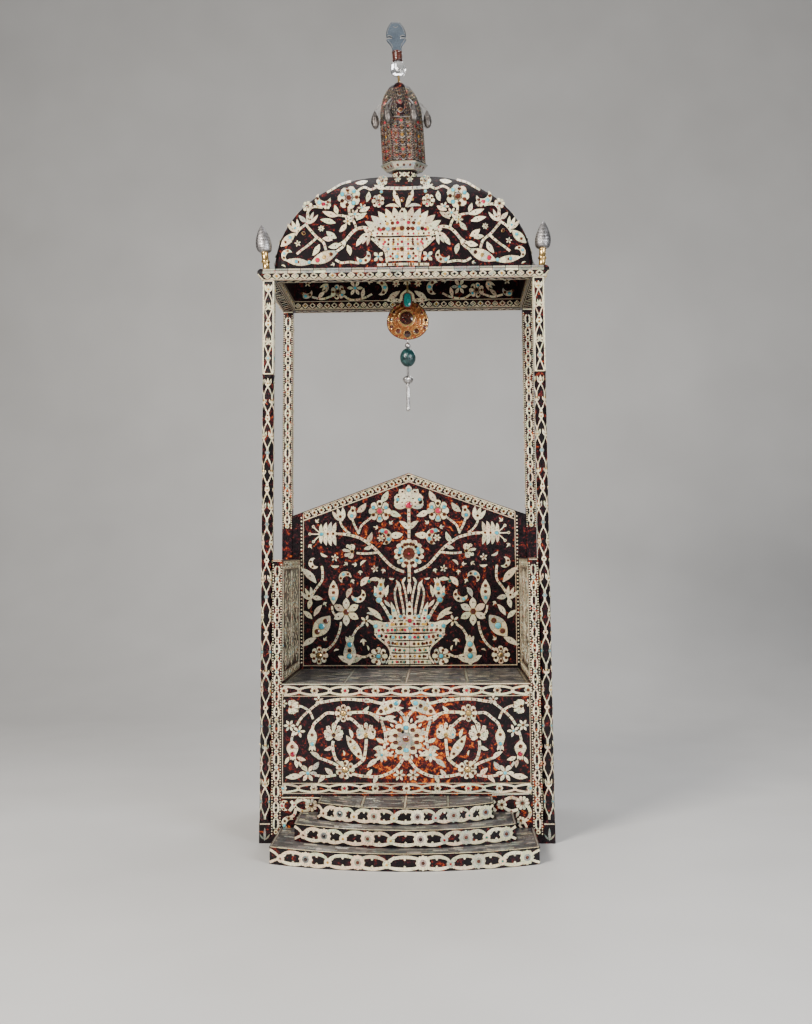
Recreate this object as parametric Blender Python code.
"""Canopied ceremonial throne: four posts, a boxed seat with arms and gabled back, a domed canopy and three steps."""

import math

import bpy

for old in list(bpy.data.objects):
    bpy.data.objects.remove(old, do_unlink=True)

# Clearance between touching pieces
GAP = 0.0003

# Overall frame of the throne
HALF_WIDTH = 0.655
DEPTH = 0.742
POST = 0.052
POST_EDGE = 0.0015
POST_CHAMFER = 0.0152
FOOT_TOP = 0.087
CAPITAL_BOTTOM = 2.100
POST_TOP = 2.546
POST_TAPER = 0.012

# Cornice under the dome
RAIL_WIDTH = 0.062
RAIL_RISE = 0.051
CORNICE_OUT = 0.0233
FLARE_RISE = 0.0245
SLAB_EDGE = 0.0135
SLAB_BEVEL = 0.010

# Dome
DOME_WALL = 0.022
DOME_RISE = 0.550
DOME_CORNER = 0.16
DOME_CROWN = 0.175
DOME_RINGS = 22

# Seat box, arms and back
ARM_POST_WIDTH = 0.0457
ARM_TOP = 1.246
ARM_SETBACK = 0.006
ARM_PANEL = 0.032
SWEEP = 0.060
SWEEP_RISE = 0.045
SWEEP_SAG = 0.35
SEAT_TOP = 0.690
SEAT_BOARD = 0.018
PANEL_BOTTOM = 0.2075
PANEL_WALL = 0.030
PANEL_RECESS = 0.003
PLINTH_BOTTOM = 0.012
BACK_SETBACK = 0.006
BACK_WALL = 0.034
GABLE_APEX = 1.686
GABLE_SLOPE = 0.361

# Stairs, from the floor up: how far in from the posts' outer sides, then reach at the corners and at the middle
STAIR_RISE = 0.0684
LOWER_INSET = 0.095
MIDDLE_INSET = 0.184
UPPER_INSET = 0.274
LOWER_CORNER = 0.338
MIDDLE_CORNER = 0.232
UPPER_CORNER = 0.143
LOWER_REACH = 0.453
MIDDLE_REACH = 0.352
UPPER_REACH = 0.258
STAIR_WALL = 0.020
STAIR_TREAD = 0.018
STAIR_LIP = 0.0025
STAIR_LIP_RISE = 0.010
ARC_PARTS = 18

# Lantern and upper finial
LANTERN_LEAN = -0.054
LANTERN_DEPTH = 0.64
NECK_RADIUS = 0.062
NECK_RISE = 0.041
PLATE_RADIUS = 0.119
PLATE_RISE = 0.041
DRUM_RADIUS = 0.1095
DRUM_RISE = 0.231
CAP_RADIUS = 0.107
CAP_RISE = 0.200
EAR_RADIUS = 0.022
EAR_RISE = 0.096
EAR_SPREAD = 1.12
STEM_RADIUS = 0.006
STEM_RISE = 0.039
CRYSTAL_RADIUS = 0.0395
CRYSTAL_RISE = 0.072
COLLAR_RADIUS = 0.0275
COLLAR_RISE = 0.053
EMBLEM_HALF = 0.052
EMBLEM_RISE = 0.158
EMBLEM_THICK = 0.016

# Corner finials
SOCKET_RADIUS = 0.016
SOCKET_RISE = 0.085
BUD_RADIUS = 0.039
BUD_RISE = 0.134
BUD_OVERHANG = 0.0157
BUD_INSET = 0.020
LEAN_LEFT = 0.115
LEAN_RIGHT = 0.052
LEAN_REAR = 0.030

# Hanging pendant
PENDANT_X = 0.010
ROD_RADIUS = 0.005
DISC_TOP = 2.521
DISC_HALF = 0.1035
DISC_RISE = 0.197
DISC_THICK = 0.024
EMERALD_HALF = 0.024
EMERALD_RISE = 0.078
EMERALD_OVER_DISC = 0.038
EMERALD_THICK = 0.020
BEAD_RADIUS = 0.014
BEAD_RISE = 0.043
BALL_RADIUS = 0.0395
BALL_RISE = 0.0905
LINK_RADIUS = 0.006
LINK_RISE = 0.045
BUD_DROP_RADIUS = 0.027
BUD_DROP_RISE = 0.040
TASSEL_RADIUS = 0.0105
TASSEL_RISE = 0.136

# Places worked out from the sizes
CORNICE_TOP = POST_TOP + RAIL_RISE
REAR_REACH = DEPTH + CORNICE_OUT
FRONT = (LOWER_REACH - REAR_REACH) / 2
REAR = FRONT + DEPTH
MIDDLE = (FRONT + REAR) / 2
POST_X = HALF_WIDTH - POST / 2
ARM_OUT = HALF_WIDTH - POST - GAP
ARM_IN = ARM_OUT - ARM_POST_WIDTH
ARM_MID = (ARM_OUT + ARM_IN) / 2
REAR_POST_FRONT = REAR - POST
BACK_FRONT = REAR_POST_FRONT + BACK_SETBACK
BUD_SIDE = HALF_WIDTH + CORNICE_OUT + BUD_OVERHANG
SHELL_X = HALF_WIDTH - RAIL_WIDTH + DOME_WALL
SHELL_Y = DEPTH / 2 - RAIL_WIDTH + DOME_WALL


def material(name, color, roughness, metallic=0.0):
    made = bpy.data.materials.new(name)
    made.use_nodes = True
    shader = made.node_tree.nodes["Principled BSDF"]
    shader.inputs["Base Color"].default_value = (*color, 1.0)
    shader.inputs["Roughness"].default_value = roughness
    shader.inputs["Metallic"].default_value = metallic
    return made


VENEER = material("veneer", (0.05, 0.015, 0.012), 0.3)
PEARL = material("pearl", (0.72, 0.68, 0.6), 0.3)
GOLD = material("gold", (0.85, 0.6, 0.25), 0.3, 1.0)
SILVER = material("silver", (0.6, 0.6, 0.6), 0.4, 1.0)
CRYSTAL = material("crystal", (0.85, 0.88, 0.9), 0.1)
EMERALD = material("emerald", (0.02, 0.3, 0.25), 0.15)
HORN = material("horn", (0.25, 0.08, 0.05), 0.35)
JADE = material("jade", (0.03, 0.12, 0.07), 0.3)


def add(name, points, faces, finish):
    """One closed solid from its points and faces."""
    mesh = bpy.data.meshes.new(name)
    mesh.from_pydata([tuple(point) for point in points], [], faces)
    mesh.materials.append(finish)
    mesh.update()
    obj = bpy.data.objects.new(name, mesh)
    bpy.context.scene.collection.objects.link(obj)
    return obj


def loft(name, rings, finish):
    """Skin over rings with the same number of points, listed counter-clockwise from above, bottom ring first."""
    count = len(rings[0])
    points = [point for ring in rings for point in ring]
    faces = [tuple(reversed(range(count)))]
    for level in range(len(rings) - 1):
        low = level * count
        high = low + count
        for i in range(count):
            j = (i + 1) % count
            faces.append((low + i, low + j, high + j, high + i))
    last = (len(rings) - 1) * count
    faces.append(tuple(range(last, last + count)))
    return add(name, points, faces, finish)


def board_along_y(name, outline, front, back, finish):
    """A board with its outline in x and z, counter-clockwise seen from the front."""
    near = [(x, front, z) for x, z in outline]
    far = [(x, back, z) for x, z in outline]
    return sides_and_ends(name, near, far, finish)


def board_along_x(name, outline, left, right, finish):
    """A board with its outline in y and z, counter-clockwise seen from the right."""
    near = [(right, y, z) for y, z in outline]
    far = [(left, y, z) for y, z in outline]
    return sides_and_ends(name, near, far, finish)


def sides_and_ends(name, near, far, finish):
    count = len(near)
    faces = [tuple(range(count)), tuple(reversed(range(count, 2 * count)))]
    for i in range(count):
        j = (i + 1) % count
        faces.append((i, i + count, j + count, j))
    return add(name, near + far, faces, finish)


def rectangle(low_a, high_a, low_b, high_b):
    return [(low_a, low_b), (high_a, low_b), (high_a, high_b), (low_a, high_b)]


def turned(name, profile, count, x, y, z, finish, lean=0.0, scale_y=1.0):
    """A turned shape from radius and height pairs; a lean slides each level sideways so that the foot stays flat."""
    rings = []
    for radius, height in profile:
        shift = x + lean * height
        ring = []
        for i in range(count):
            turn = 2 * math.pi * (i + 0.5) / count
            across = radius * math.cos(turn)
            deep = radius * scale_y * math.sin(turn)
            ring.append((shift + across, y + deep, z + height))
        rings.append(ring)
    return loft(name, rings, finish)


def hexagon_ring(radius, mid, x, y, z):
    """Six corners, two of them left and right, with a point between each two at the given share of the radius.

    The lantern is wider than it is deep.
    """
    ring = []
    for i in range(12):
        reach = radius * (mid if i % 2 else 1.0)
        turn = math.pi * i / 6
        ring.append((x + reach * math.cos(turn), y + LANTERN_DEPTH * reach * math.sin(turn), z))
    return ring


# Posts: square foot and square head; the front pair have an eight-sided shaft between, the rear pair stay square
def post(name, x, y, shaft_cut):
    half = POST / 2
    levels = [
        (0.0, POST_EDGE),
        (FOOT_TOP, POST_EDGE),
        (FOOT_TOP + POST_TAPER, shaft_cut),
        (CAPITAL_BOTTOM - POST_TAPER, shaft_cut),
        (CAPITAL_BOTTOM, POST_EDGE),
        (POST_TOP, POST_EDGE),
    ]
    rings = []
    for z, cut in levels:
        near = half - cut
        plan = [
            (half, -near),
            (half, near),
            (near, half),
            (-near, half),
            (-half, near),
            (-half, -near),
            (-near, -half),
            (near, -half),
        ]
        rings.append([(x + a, y + b, z) for a, b in plan])
    return loft(name, rings, VENEER)


FRONT_POST_Y = FRONT + POST / 2
REAR_POST_Y = REAR - POST / 2
post("post_front_left", -POST_X, FRONT_POST_Y, POST_CHAMFER)
post("post_front_right", POST_X, FRONT_POST_Y, POST_CHAMFER)
post("post_rear_left", -POST_X, REAR_POST_Y, POST_EDGE)
post("post_rear_right", POST_X, REAR_POST_Y, POST_EDGE)


# Cornice: four mitred rails, flared outside, plain inside
def cornice_section():
    """Distance out from the posts' outer face, and height."""
    base = POST_TOP + GAP
    edge = base + FLARE_RISE
    return [
        (0.0, base),
        (CORNICE_OUT, edge),
        (CORNICE_OUT, edge + SLAB_EDGE),
        (CORNICE_OUT - SLAB_BEVEL, CORNICE_TOP),
        (-RAIL_WIDTH, CORNICE_TOP),
        (-RAIL_WIDTH, base),
    ]


def cornice_front_or_rear(name, line, outward):
    left = []
    right = []
    for out, z in cornice_section():
        reach = HALF_WIDTH + out - GAP
        left.append((-reach, line + outward * out, z))
        right.append((reach, line + outward * out, z))
    ends = (left, right) if outward < 0 else (right, left)
    return sides_and_ends(name, ends[0], ends[1], VENEER)


def cornice_side(name, side):
    near = []
    far = []
    for out, z in cornice_section():
        near.append((side * (HALF_WIDTH + out), FRONT - out, z))
        far.append((side * (HALF_WIDTH + out), REAR + out, z))
    ends = (far, near) if side < 0 else (near, far)
    return sides_and_ends(name, ends[0], ends[1], VENEER)


cornice_front_or_rear("cornice_front", FRONT, -1)
cornice_front_or_rear("cornice_rear", REAR, 1)
cornice_side("cornice_left", -1)
cornice_side("cornice_right", 1)


# Dome: a hollow four-sided vault with rounded corners, open below
def vault_ring(half_x, half_y, corner, z):
    ring = []
    radius = min(corner, half_y)
    quarters = ((1, 1, 0), (-1, 1, 90), (-1, -1, 180), (1, -1, 270))
    for sign_x, sign_y, start in quarters:
        centre_x = sign_x * (half_x - radius)
        centre_y = sign_y * (half_y - radius)
        for step in range(6):
            turn = math.radians(start + 18 * step)
            ring.append((centre_x + radius * math.cos(turn), MIDDLE + centre_y + radius * math.sin(turn), z))
    return ring


def dome():
    base = CORNICE_TOP + GAP
    last = math.acos(DOME_CROWN)
    outer = []
    inner = []
    for level in range(DOME_RINGS + 1):
        turn = last * level / DOME_RINGS
        narrow = math.cos(turn)
        high = math.sin(turn)
        half_x = SHELL_X * narrow
        half_y = SHELL_Y * narrow
        outer.append(vault_ring(half_x, half_y, DOME_CORNER * half_y, base + DOME_RISE * high))
        half_x = (SHELL_X - DOME_WALL) * narrow
        half_y = (SHELL_Y - DOME_WALL) * narrow
        rise = (DOME_RISE - DOME_WALL) * high
        inner.append(vault_ring(half_x, half_y, DOME_CORNER * half_y, base + rise))
    count = len(outer[0])
    rings = list(reversed(inner)) + outer
    points = [point for ring in rings for point in ring]
    faces = [tuple(reversed(range(count)))]
    for level in range(len(rings) - 1):
        low = level * count
        high = low + count
        for i in range(count):
            j = (i + 1) % count
            faces.append((low + i, low + j, high + j, high + i))
    top = (len(rings) - 1) * count
    faces.append(tuple(range(top, top + count)))
    add("dome", points, faces, VENEER)
    lift = math.sin(last)
    return base + DOME_RISE * lift, base + (DOME_RISE - DOME_WALL) * lift


DOME_TOP, DOME_CEILING = dome()

# Lantern: neck, plate, drum and ribbed cap on six sides, leaning a little to the left
lantern_y = MIDDLE
level = DOME_TOP + GAP
loft(
    "lantern_neck",
    [hexagon_ring(NECK_RADIUS, 0.93, 0.0, lantern_y, z) for z in (level, level + NECK_RISE)],
    VENEER,
)
PLATE_BASE = level + NECK_RISE + GAP


def leaning(z):
    return LANTERN_LEAN * (z - PLATE_BASE)


def hexagon_stack(name, base, levels, mid, finish):
    rings = []
    for radius, height in levels:
        z = base + height
        rings.append(hexagon_ring(radius, mid, leaning(z), lantern_y, z))
    return loft(name, rings, finish)


FLAT = math.cos(math.pi / 6)
plate_levels = [
    (PLATE_RADIUS * 0.76, 0.0),
    (PLATE_RADIUS * 0.80, PLATE_RISE * 0.15),
    (PLATE_RADIUS, PLATE_RISE * 0.85),
    (PLATE_RADIUS * 0.96, PLATE_RISE),
]
hexagon_stack("lantern_plate", PLATE_BASE, plate_levels, FLAT, PEARL)
DRUM_BASE = PLATE_BASE + PLATE_RISE + GAP
hexagon_stack("lantern_drum", DRUM_BASE, [(DRUM_RADIUS, 0.0), (DRUM_RADIUS, DRUM_RISE)], FLAT, VENEER)
CAP_BASE = DRUM_BASE + DRUM_RISE + GAP
cap_levels = []
for i in range(10):
    turn = math.radians(8.8 * i)
    cap_levels.append((CAP_RADIUS * math.cos(turn), CAP_RISE * math.sin(turn)))
cap_levels.append((STEM_RADIUS * 1.6, CAP_RISE))
hexagon_stack("lantern_cap", CAP_BASE, cap_levels, 0.93, VENEER)

ear_profile = [
    (0.14, 0.0),
    (0.58, 0.10),
    (0.88, 0.24),
    (1.0, 0.40),
    (0.95, 0.54),
    (0.76, 0.69),
    (0.50, 0.82),
    (0.27, 0.92),
    (0.08, 1.0),
]
EAR_BASE = CAP_BASE - EAR_RISE * 0.45
for i in range(6):
    turn = math.pi * i / 3
    reach = DRUM_RADIUS + EAR_RADIUS + 4 * GAP
    ear_x = leaning(EAR_BASE) + reach * math.cos(turn)
    ear_y = lantern_y + LANTERN_DEPTH * reach * math.sin(turn) * EAR_SPREAD
    levels = [(share * EAR_RADIUS, up * EAR_RISE) for share, up in ear_profile]
    turned(f"lantern_ear_{i + 1}", levels, 8, ear_x, ear_y, EAR_BASE, SILVER, LANTERN_LEAN)

# Upper finial: stem, crystal, collar and flat emblem
STEM_BASE = CAP_BASE + CAP_RISE + GAP
stem_levels = [(STEM_RADIUS * 1.6, 0.0), (STEM_RADIUS, 0.006), (STEM_RADIUS, STEM_RISE)]
turned("finial_stem", stem_levels, 8, leaning(STEM_BASE), lantern_y, STEM_BASE, GOLD, LANTERN_LEAN)
CRYSTAL_BASE = STEM_BASE + STEM_RISE + GAP
crystal_profile = [(0.66, 0.0), (0.92, 0.14), (1.0, 0.38), (0.99, 0.62), (0.84, 0.84), (0.48, 1.0)]
crystal_levels = [(share * CRYSTAL_RADIUS, up * CRYSTAL_RISE) for share, up in crystal_profile]
turned(
    "finial_crystal", crystal_levels, 9, leaning(CRYSTAL_BASE), lantern_y, CRYSTAL_BASE, CRYSTAL, LANTERN_LEAN
)
COLLAR_BASE = CRYSTAL_BASE + CRYSTAL_RISE + GAP
collar_profile = [(0.84, 0.0), (1.0, 0.08), (0.94, 0.22), (0.96, 0.50), (0.94, 0.80), (1.0, 0.92), (0.92, 1.0)]
collar_levels = [(share * COLLAR_RADIUS, up * COLLAR_RISE) for share, up in collar_profile]
turned("finial_collar", collar_levels, 12, leaning(COLLAR_BASE), lantern_y, COLLAR_BASE, HORN, LANTERN_LEAN)
EMBLEM_BASE = COLLAR_BASE + COLLAR_RISE + GAP

emblem_side = [
    (0.48, 0.0),
    (0.49, 0.09),
    (0.66, 0.22),
    (0.92, 0.33),
    (1.0, 0.40),
    (0.94, 0.425),
    (0.46, 0.405),
    (0.36, 0.435),
    (0.44, 0.475),
    (0.68, 0.515),
    (0.98, 0.49),
    (1.0, 0.55),
    (0.96, 0.68),
    (0.80, 0.82),
    (0.60, 0.93),
    (0.42, 1.0),
]
emblem_right = [(share * EMBLEM_HALF, up * EMBLEM_RISE) for share, up in emblem_side]
emblem_outline = emblem_right + [(-a, b) for a, b in reversed(emblem_right)]


def emblem():
    """Thick along its middle plane and thinner at the rim."""
    layers = []
    for depth, shrink in ((-0.5, 0.88), (0.0, 1.0), (0.5, 0.88)):
        layer = []
        for across, up in emblem_outline:
            height = EMBLEM_RISE * 0.5 + (up - EMBLEM_RISE * 0.5) * shrink
            z = EMBLEM_BASE + height
            layer.append((leaning(z) + across * shrink, lantern_y + depth * EMBLEM_THICK, z))
        layers.append(layer)
    count = len(emblem_outline)
    points = layers[0] + layers[1] + layers[2]
    faces = [tuple(range(count)), tuple(reversed(range(2 * count, 3 * count)))]
    for low in (0, count):
        for i in range(count):
            j = (i + 1) % count
            faces.append((low + i, low + count + i, low + count + j, low + j))
    add("finial_emblem", points, faces, SILVER)


emblem()

# Corner finials: a turned socket with a pointed bud, each leaning as it stands
socket_profile = [
    (1.15, 0.0),
    (1.0, 0.06),
    (1.0, 0.40),
    (1.28, 0.45),
    (1.28, 0.53),
    (1.0, 0.58),
    (1.0, 1.0),
]
bud_profile = [
    (0.42, 0.0),
    (0.72, 0.04),
    (0.92, 0.12),
    (1.0, 0.24),
    (0.97, 0.36),
    (0.84, 0.50),
    (0.62, 0.66),
    (0.36, 0.82),
    (0.14, 0.94),
    (0.02, 1.0),
]


def corner_finial(place, side, y, lean):
    socket_base = CORNICE_TOP + GAP
    bud_base = socket_base + SOCKET_RISE + GAP
    widest = bud_base + BUD_RISE * 0.24 - socket_base
    x = side * (BUD_SIDE - BUD_RADIUS - lean * widest)
    levels = [(share * SOCKET_RADIUS, up * SOCKET_RISE) for share, up in socket_profile]
    turned(f"finial_socket_{place}", levels, 12, x, y, socket_base, GOLD, side * lean)
    levels = [(share * BUD_RADIUS, up * BUD_RISE) for share, up in bud_profile]
    bud_x = x + side * lean * (bud_base - socket_base)
    turned(f"finial_bud_{place}", levels, 16, bud_x, y, bud_base, SILVER, side * lean)


corner_finial("front_left", -1, FRONT + BUD_INSET, LEAN_LEFT)
corner_finial("front_right", 1, FRONT + BUD_INSET, LEAN_RIGHT)
corner_finial("rear_left", -1, REAR - BUD_INSET, LEAN_REAR)
corner_finial("rear_right", 1, REAR - BUD_INSET, LEAN_REAR)


# Pendant: rod, emerald, gold disc, bead, carved ball, link, bud and tassel
def disc():
    bottom = DISC_TOP - DISC_RISE
    centre = (DISC_TOP + bottom) / 2
    outline = []
    for i in range(32):
        turn = 2 * math.pi * (i + 0.5) / 32
        up = math.cos(turn)
        across = math.sin(turn) * (1.0 - 0.10 * up)
        outline.append((PENDANT_X - across * DISC_HALF, centre + up * DISC_RISE / 2))
    layers = []
    for depth, shrink in ((-0.5, 0.80), (-0.22, 1.0), (0.22, 1.0), (0.5, 0.80)):
        layer = []
        for x, z in outline:
            across = PENDANT_X + (x - PENDANT_X) * shrink
            layer.append((across, MIDDLE + depth * DISC_THICK, centre + (z - centre) * shrink))
        layers.append(layer)
    count = len(outline)
    points = [point for layer in layers for point in layer]
    faces = [tuple(range(count)), tuple(reversed(range(3 * count, 4 * count)))]
    for low in (0, count, 2 * count):
        for i in range(count):
            j = (i + 1) % count
            faces.append((low + i, low + count + i, low + count + j, low + j))
    add("pendant_disc", points, faces, GOLD)
    return bottom


rod_top = DOME_CEILING - GAP
rod_base = DISC_TOP + GAP
rod_rise = rod_top - rod_base
rod_levels = [
    (ROD_RADIUS, 0.0),
    (ROD_RADIUS, rod_rise - 0.03),
    (ROD_RADIUS * 4, rod_rise - 0.008),
    (ROD_RADIUS * 4, rod_rise),
]
turned("pendant_rod", rod_levels, 10, PENDANT_X, MIDDLE, rod_base, GOLD)
disc_bottom = disc()

emerald_top = DISC_TOP + EMERALD_OVER_DISC
emerald_low = emerald_top - EMERALD_RISE
emerald_back = MIDDLE - DISC_THICK / 2 - GAP
emerald_cut = EMERALD_HALF * 0.55
emerald_outline = [
    (PENDANT_X, emerald_low),
    (PENDANT_X + EMERALD_HALF, emerald_low + emerald_cut),
    (PENDANT_X + EMERALD_HALF, emerald_top - emerald_cut),
    (PENDANT_X, emerald_top),
    (PENDANT_X - EMERALD_HALF, emerald_top - emerald_cut),
    (PENDANT_X - EMERALD_HALF, emerald_low + emerald_cut),
]
board_along_y("pendant_emerald", emerald_outline, emerald_back - EMERALD_THICK, emerald_back, EMERALD)


def hung(name, profile, radius, rise, top, count, finish):
    """A turned drop that hangs with its top at the given height; gives back where it ends."""
    base = top - rise
    levels = [(share * radius, up * rise) for share, up in profile]
    turned(name, levels, count, PENDANT_X, MIDDLE, base, finish)
    return base - GAP


bead_profile = [(0.3, 0.0), (0.85, 0.16), (1.0, 0.33), (0.85, 0.50), (0.35, 0.66), (0.35, 1.0)]
ball_profile = [
    (0.20, 0.0),
    (0.42, 0.03),
    (0.72, 0.14),
    (0.94, 0.32),
    (1.0, 0.50),
    (0.94, 0.68),
    (0.72, 0.86),
    (0.42, 0.97),
    (0.20, 1.0),
]
link_profile = [(0.6, 0.0), (1.0, 0.15), (1.0, 0.85), (0.6, 1.0)]
drop_profile = [(0.40, 0.0), (0.62, 0.10), (1.0, 0.45), (0.86, 0.75), (0.40, 0.95), (0.2, 1.0)]
tassel_profile = [(0.55, 0.0), (1.0, 0.06), (0.92, 0.5), (1.0, 0.9), (0.7, 1.0)]
next_top = hung("pendant_bead", bead_profile, BEAD_RADIUS, BEAD_RISE, disc_bottom - GAP, 12, SILVER)
next_top = hung("pendant_ball", ball_profile, BALL_RADIUS, BALL_RISE, next_top, 14, JADE)
next_top = hung("pendant_link", link_profile, LINK_RADIUS, LINK_RISE, next_top, 8, SILVER)
next_top = hung("pendant_drop", drop_profile, BUD_DROP_RADIUS, BUD_DROP_RISE, next_top, 12, SILVER)
hung("pendant_tassel", tassel_profile, TASSEL_RADIUS, TASSEL_RISE, next_top, 12, SILVER)

# Arm posts beside the front posts
for name, side in (("arm_post_left", -1), ("arm_post_right", 1)):
    near = min(side * ARM_IN, side * ARM_OUT)
    outline = rectangle(near, near + ARM_POST_WIDTH, 0.0, ARM_TOP)
    board_along_y(name, outline, FRONT, FRONT + POST, VENEER)

# Back panel with its gable, from the plinth up
back_half = HALF_WIDTH - POST - GAP
back_outline = [
    (-back_half, PLINTH_BOTTOM),
    (back_half, PLINTH_BOTTOM),
    (back_half, GABLE_APEX - GABLE_SLOPE * back_half),
    (0.0, GABLE_APEX),
    (-back_half, GABLE_APEX - GABLE_SLOPE * back_half),
]
board_along_y("back_panel", back_outline, BACK_FRONT, BACK_FRONT + BACK_WALL, VENEER)

# Side panels: level on top, swept up to the back
side_front = FRONT + POST + GAP
side_back = BACK_FRONT - GAP
side_base = PANEL_BOTTOM + GAP
side_outline = [(side_front, side_base), (side_back, side_base), (side_back, ARM_TOP + SWEEP_RISE)]
for i in range(1, 7):
    turn = math.radians(15 * i)
    y = side_back - SWEEP * math.sin(turn)
    z = ARM_TOP + SWEEP_RISE * (1.0 - math.sin(turn)) * (1.0 - SWEEP_SAG * math.sin(2 * turn))
    side_outline.append((y, z))
side_outline.append((side_front, ARM_TOP))
plinth_outline = rectangle(side_front, side_back, PLINTH_BOTTOM, PANEL_BOTTOM)
for place, side in (("left", -1), ("right", 1)):
    near = side * (ARM_IN + ARM_SETBACK)
    far = side * (ARM_IN + ARM_SETBACK + ARM_PANEL)
    low = min(near, far)
    high = max(near, far)
    board_along_x(f"side_panel_{place}", side_outline, low, high, VENEER)
    board_along_x(f"plinth_{place}", plinth_outline, low, high, VENEER)

# Seat board over the front panel and between the sides
seat_base = SEAT_TOP - SEAT_BOARD
side_in = ARM_IN + ARM_SETBACK - GAP
seat_front = FRONT + 0.001
front_in = ARM_IN - GAP
seat_plan = [
    (-front_in, seat_front),
    (front_in, seat_front),
    (front_in, side_front),
    (side_in, side_front),
    (side_in, side_back),
    (-side_in, side_back),
    (-side_in, side_front),
    (-front_in, side_front),
]
loft("seat_board", [[(x, y, z) for x, y in seat_plan] for z in (seat_base, SEAT_TOP)], PEARL)

# Front panel and plinth between the arm posts
panel_front = FRONT + PANEL_RECESS
panel_outline = rectangle(-front_in, front_in, PANEL_BOTTOM + GAP, seat_base - GAP)
board_along_y("front_panel", panel_outline, panel_front, panel_front + PANEL_WALL, VENEER)
plinth_front_outline = rectangle(-front_in, front_in, PLINTH_BOTTOM, PANEL_BOTTOM)
board_along_y("plinth_front", plinth_front_outline, FRONT + 0.001, panel_front + PANEL_WALL, VENEER)


# Stairs: three hollow treads with bowed fronts and a thin lip, open below, stacked against the plinth
def stair_outline(half, corner, reach, inset):
    """Plan from the back left corner round the bowed front, counter-clockwise from above."""
    half = half - inset
    corner_y = FRONT - corner + inset
    bow = reach - corner
    radius = (half * half + bow * bow) / (2 * bow)
    spread = math.asin(half / radius)
    back = FRONT - GAP - inset
    plan = [(half, back), (-half, back)]
    for i in range(ARC_PARTS + 1):
        turn = -spread + 2 * spread * i / ARC_PARTS
        x = radius * math.sin(turn)
        y = corner_y - bow + radius * (1.0 - math.cos(turn))
        plan.append((x, y))
    return plan


def stair(name, level, inset, corner, reach):
    half = HALF_WIDTH - inset
    base = STAIR_RISE * level + (GAP if level else 0.0)
    top = STAIR_RISE * (level + 1)
    outer = stair_outline(half, corner, reach, 0.0)
    riser = stair_outline(half, corner, reach, STAIR_LIP)
    inner = stair_outline(half, corner, reach, STAIR_WALL)
    rings = [
        [(x, y, top - STAIR_TREAD) for x, y in inner],
        [(x, y, base) for x, y in inner],
        [(x, y, base) for x, y in riser],
        [(x, y, top - STAIR_LIP_RISE) for x, y in riser],
        [(x, y, top - STAIR_LIP_RISE) for x, y in outer],
        [(x, y, top) for x, y in outer],
    ]
    return loft(name, rings, VENEER)


stair("step_lower", 0, LOWER_INSET, LOWER_CORNER, LOWER_REACH)
stair("step_middle", 1, MIDDLE_INSET, MIDDLE_CORNER, MIDDLE_REACH)
stair("step_upper", 2, UPPER_INSET, UPPER_CORNER, UPPER_REACH)
